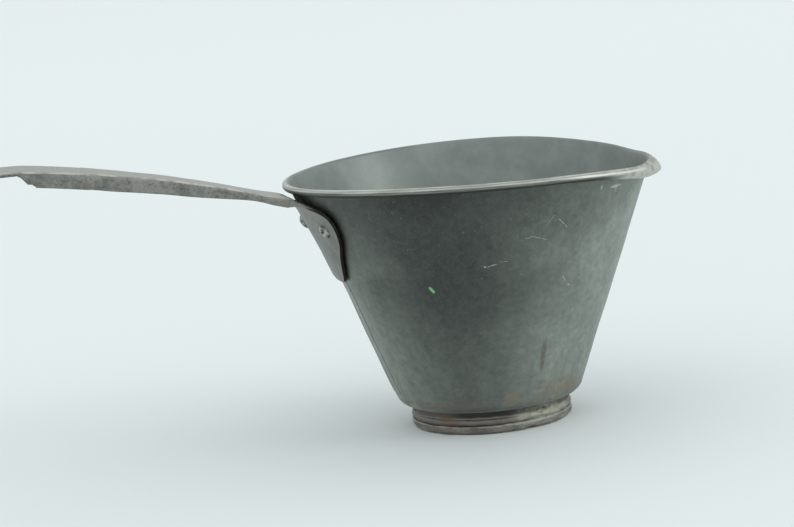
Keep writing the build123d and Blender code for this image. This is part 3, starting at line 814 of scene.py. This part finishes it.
STEEL = (0.15, 0.15, 0.138), (0.30, 0.305, 0.28)
STEEL_RUST = (0.15, 0.115, 0.085)
RUBBED_AND_LIT_TOP, RUBBED_EDGE_AND_HIGHLIGHT = (0.40, 0.415, 0.375), (0.60, 0.60, 0.55)
PIT, CUT_EDGE_DIRT_AND_SHADE = (0.05, 0.045, 0.04), (0.03, 0.028, 0.025)
steel = Finish("handle_steel")
steel_patches = steel.noise(9, 5, 0.6)
steel_grain = steel.noise(1.3, 4, 0.65)
steel_fine = steel.noise(0.4, 2, 0.5)
steel_mix = steel.band(steel_patches * 0.4 + steel_grain * 0.4 + steel_fine * 0.2, 0.38, 0.62)
steel_tone = steel.colour(steel_mix, *STEEL)
on_grip = steel.band(steel.x, -GRIP_FROM, -GRIP_FROM - 10)
steel_rust = steel.band(steel.noise(5, 5, 0.65, seed=6), 0.50, 0.68) * (on_grip * 0.45 + 0.25)
steel_tone = steel.colour(steel_rust * 0.7, steel_tone, STEEL_RUST)
# The grip's upward faces are painted lighter: rubbing wear and painted light from above.
steel_tone = steel.colour(steel.attribute("top") * (0.55 + 0.3 * steel_mix), steel_tone, RUBBED_AND_LIT_TOP)
pits = steel.band(steel.noise(0.8, 2, 0.5, seed=17), 0.60, 0.68) * on_grip
steel_tone = steel.colour(pits * 0.45, steel_tone, PIT)
# The grip's turned edges: broken rubbed metal and a painted highlight along the bend.
rubbed_and_highlit_edge = steel.attribute("edge") * on_grip
broken = steel.noise(1.6, 4, 0.65, stretch=(0.35, 1, 1), seed=3)
rubbed_and_highlit_edge = rubbed_and_highlit_edge * steel.band(broken, 0.40, 0.56)
steel_tone = steel.colour(rubbed_and_highlit_edge * 0.85, steel_tone, RUBBED_EDGE_AND_HIGHLIGHT)
# The foot's cut edges are dark: dirt and painted shade where the foot stands off the wall.
steel_tone = steel.colour(steel.attribute("cut"), steel_tone, CUT_EDGE_DIRT_AND_SHADE)
steel.end(Base_Color=steel_tone, Metallic=1 - steel_rust * 0.5,
          Roughness=0.40 + 0.2 * steel_mix + 0.15 * steel_rust,
          Normal=steel.raised(steel_patches * 0.4 + steel_grain * 0.6, 0.14))
finished(handle, steel, "handle")


# ---------------------------------------------------------------------------------------------
# Rivets. Soft iron, put in from inside the cup with a flat head there and hammered over on the
# handle's foot, so no two outer heads are alike.
RIVET_Z = 59.7
RIVET_TURN = 15.2           # degrees to either side of the handle's line
HEAD_RADIUS, HEAD_HEIGHT = 2.1, 1.3
RIVET_TONES = (0.05, 0.047, 0.043), (0.52, 0.52, 0.48)
rivet_iron = Finish("rivet_iron")
rivet_mix = rivet_iron.band(rivet_iron.noise(1.6, 4, 0.6), 0.36, 0.62)
rivet_tone = rivet_iron.colour(rivet_mix, *RIVET_TONES)
rivet_iron.end(Base_Color=rivet_tone, Metallic=1 - 0.3 * rivet_iron.noise(2, 2),
               Roughness=0.35 + 0.3 * rivet_mix,
               Normal=rivet_iron.raised(rivet_iron.noise(0.8, 4, 0.6), 0.1))
head_at = 1.5 + 0.05        # top of the foot, from the middle of the wall
slope = radians(FLARE)
for node, side in (("rivet_left", -1), ("rivet_right", 1)):
    dome = [(HEAD_RADIUS * sin(radians(a)), head_at + HEAD_HEIGHT * cos(radians(a)))
            for a in range(0, 91, 10)]
    under = [(2.0, head_at), (1.4, head_at), (1.4, -0.36), (2.7, -0.38), (2.8, -0.45), (2.8, -0.95),
             (2.65, -1.07), (0, -1.07)]
    rivet = turned(node + "_piece", dome + under, 40)
    for vertex in rivet.data.vertices:
        x, y, z = vertex.co
        if z > head_at - 0.01:
            flat = noise.noise(Vector((x / 1.3 + 9 * side, y / 1.3, z / 1.3)))
            vertex.co = Vector((x * (1 + 0.10 * flat), y * (1 - 0.08 * flat),
                                head_at + (z - head_at) * (0.9 + 0.35 * flat)))
    smooth(rivet, 50)
    around = radians(180 + side * RIVET_TURN)
    r = cone_radius(RIVET_Z)
    out = Vector((cos(slope) * cos(around), cos(slope) * sin(around), -sin(slope)))
    stand = out.to_track_quat("Z", "Y").to_matrix().to_4x4()
    rivet.data.transform(Matrix.Translation((r * cos(around), r * sin(around), RIVET_Z)) @ stand)
    for vertex in rivet.data.vertices:
        vertex.co = pressed(vertex.co)
    finished(rivet, rivet_iron, node)


# ---------------------------------------------------------------------------------------------
# Studio: a wide pale floor, an even pale sky, one soft window light on the right and the camera.
FLOOR_NEAR, FLOOR_FAR = (0.80, 0.86, 0.85), (0.86, 0.915, 0.905)
bpy.ops.mesh.primitive_plane_add(size=30)
floor = bpy.context.object
floor.name = "floor"
paper = Finish("pale_floor", Roughness=0.9)
# The floor is painted darker towards the camera and paler far off, as painted shade and light.
away = paper.band(paper.y, -300.0, 1500.0)
paper.end(Base_Color=paper.colour(away, FLOOR_NEAR, FLOOR_FAR))
floor.data.materials.append(paper.material)
floor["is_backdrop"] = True

sky = bpy.data.worlds.new("studio")
bpy.context.scene.world = sky
sky.use_nodes = True
background = sky.node_tree.nodes["Background"]
background.inputs["Color"].default_value = (0.95, 0.98, 1.0, 1)
background.inputs["Strength"].default_value = 0.945

WINDOW_PLACE = Vector((1.48, -1.02, 0.88))
WINDOW_AIM = Vector((0, 0, 0.04))
lamp = bpy.data.lights.new("window", "AREA")
lamp.size = 0.9
lamp.energy = 6
window = bpy.data.objects.new("window", lamp)
window.location = WINDOW_PLACE
window.rotation_euler = (WINDOW_AIM - WINDOW_PLACE).to_track_quat("-Z", "Y").to_euler()
window.visible_camera = False
bpy.context.collection.objects.link(window)

CAMERA_TURN, CAMERA_RISE, CAMERA_ROLL = radians(-14.5), radians(8.99), radians(-5.42)
CAMERA_AIM = Vector((0, 0, 0.035))
CAMERA_AWAY, CAMERA_LEFT, CAMERA_UP = 0.7, 0.02309, 0.00789
back = Vector((sin(CAMERA_TURN) * cos(CAMERA_RISE), -cos(CAMERA_TURN) * cos(CAMERA_RISE),
               sin(CAMERA_RISE)))
level = Vector((cos(CAMERA_TURN), sin(CAMERA_TURN), 0))
rise = back.cross(level)
right = cos(CAMERA_ROLL) * level + sin(CAMERA_ROLL) * rise
upward = cos(CAMERA_ROLL) * rise - sin(CAMERA_ROLL) * level
lens = bpy.data.cameras.new("camera")
lens.lens = 115.6
lens.sensor_width = 36
camera = bpy.data.objects.new("camera", lens)
place = CAMERA_AIM + CAMERA_AWAY * back - CAMERA_LEFT * right + CAMERA_UP * upward
turned_axes = Matrix((right, upward, back)).transposed().to_4x4()
camera.matrix_world = Matrix.Translation(place) @ turned_axes
bpy.context.collection.objects.link(camera)
bpy.context.scene.camera = camera
bpy.context.scene.view_settings.view_transform = "Standard"

low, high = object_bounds()
